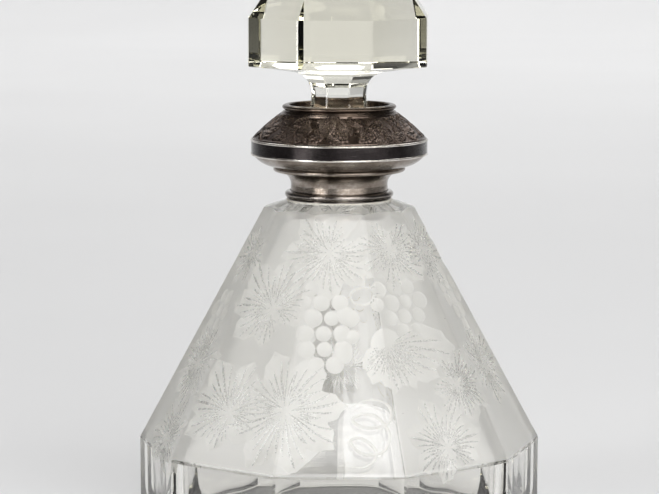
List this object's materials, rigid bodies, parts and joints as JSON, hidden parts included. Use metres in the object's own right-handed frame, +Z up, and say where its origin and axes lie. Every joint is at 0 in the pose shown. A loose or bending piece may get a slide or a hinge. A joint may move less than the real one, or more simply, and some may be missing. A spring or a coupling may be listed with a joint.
{
  "type": "perfume bottle",
  "caption": "Faceted clear glass bottle with wheel-cut vine engraving, a stepped silver neck mount and a lift-out faceted glass stopper.",
  "frame": {"origin": "middle of the foot, on the surface that the bottle stands on", "axes": "+Z up along the bottle's axis, -Y towards the front facet, +X to the right of the front"},
  "size_m": [0.1, 0.0952, 0.16],
  "materials": {
    "body_glass": "clear lead glass with matt wheel-cut engraving",
    "stopper_glass": "clear lead glass, cut and polished",
    "silver_polished": "tarnished silver, worn bright on the edges",
    "silver_dark": "silver, heavily tarnished, smooth",
    "silver_patina": "chased silver with brown patina",
    "plaster": "cast plaster, matt"
  },
  "bodies": {
    "bottle": {"glass_body": "body_glass", "plaster_bedding": "plaster", "neck_ferrule": "silver_polished", "bead_ring": "silver_polished", "step_ring": "silver_polished", "lower_pan": "silver_polished", "lower_wire": "silver_polished", "girdle_band": "silver_dark", "upper_wire": "silver_polished", "chased_frieze": "silver_patina", "rolled_rim": "silver_polished", "throat_pan": "silver_patina"},
    "stopper_body": {"stopper": "stopper_glass"}
  },
  "joints": [
    {"name": "stopper_lift", "type": "slide", "parent": "bottle", "child": "stopper_body", "axis": [0, 0, 1], "range_m": [0, 0.045]}
  ]
}
